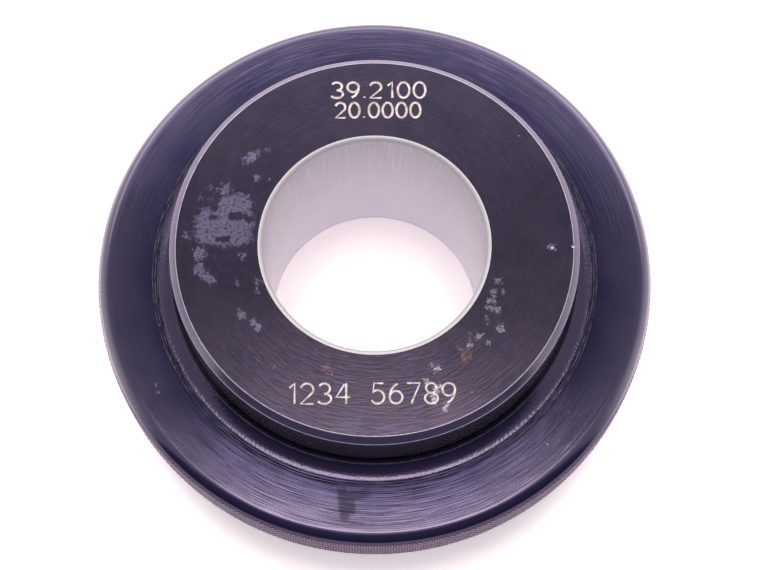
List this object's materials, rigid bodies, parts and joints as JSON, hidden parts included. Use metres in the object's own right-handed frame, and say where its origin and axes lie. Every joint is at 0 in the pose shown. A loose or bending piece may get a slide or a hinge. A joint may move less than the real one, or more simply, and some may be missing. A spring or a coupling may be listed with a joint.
{
  "type": "plain ring gauge",
  "caption": "Plain ring gauge: a long hub with a knurled flange round its middle and a ground and lapped bore right through, black-finished outside.",
  "frame": {"origin": "middle of the lower hub face, on the bore's axis, where the gauge stands", "axes": "+Z along the bore's axis, from the lower hub face to the upper one"},
  "size_m": [0.1016, 0.1016, 0.0381],
  "materials": {
    "black_oxide_steel": "hardened tool steel, turned and ground, black oxide outside; the bore is lapped bright"
  },
  "bodies": {
    "root": {"ring_gauge": "black_oxide_steel"}
  },
  "joints": []
}
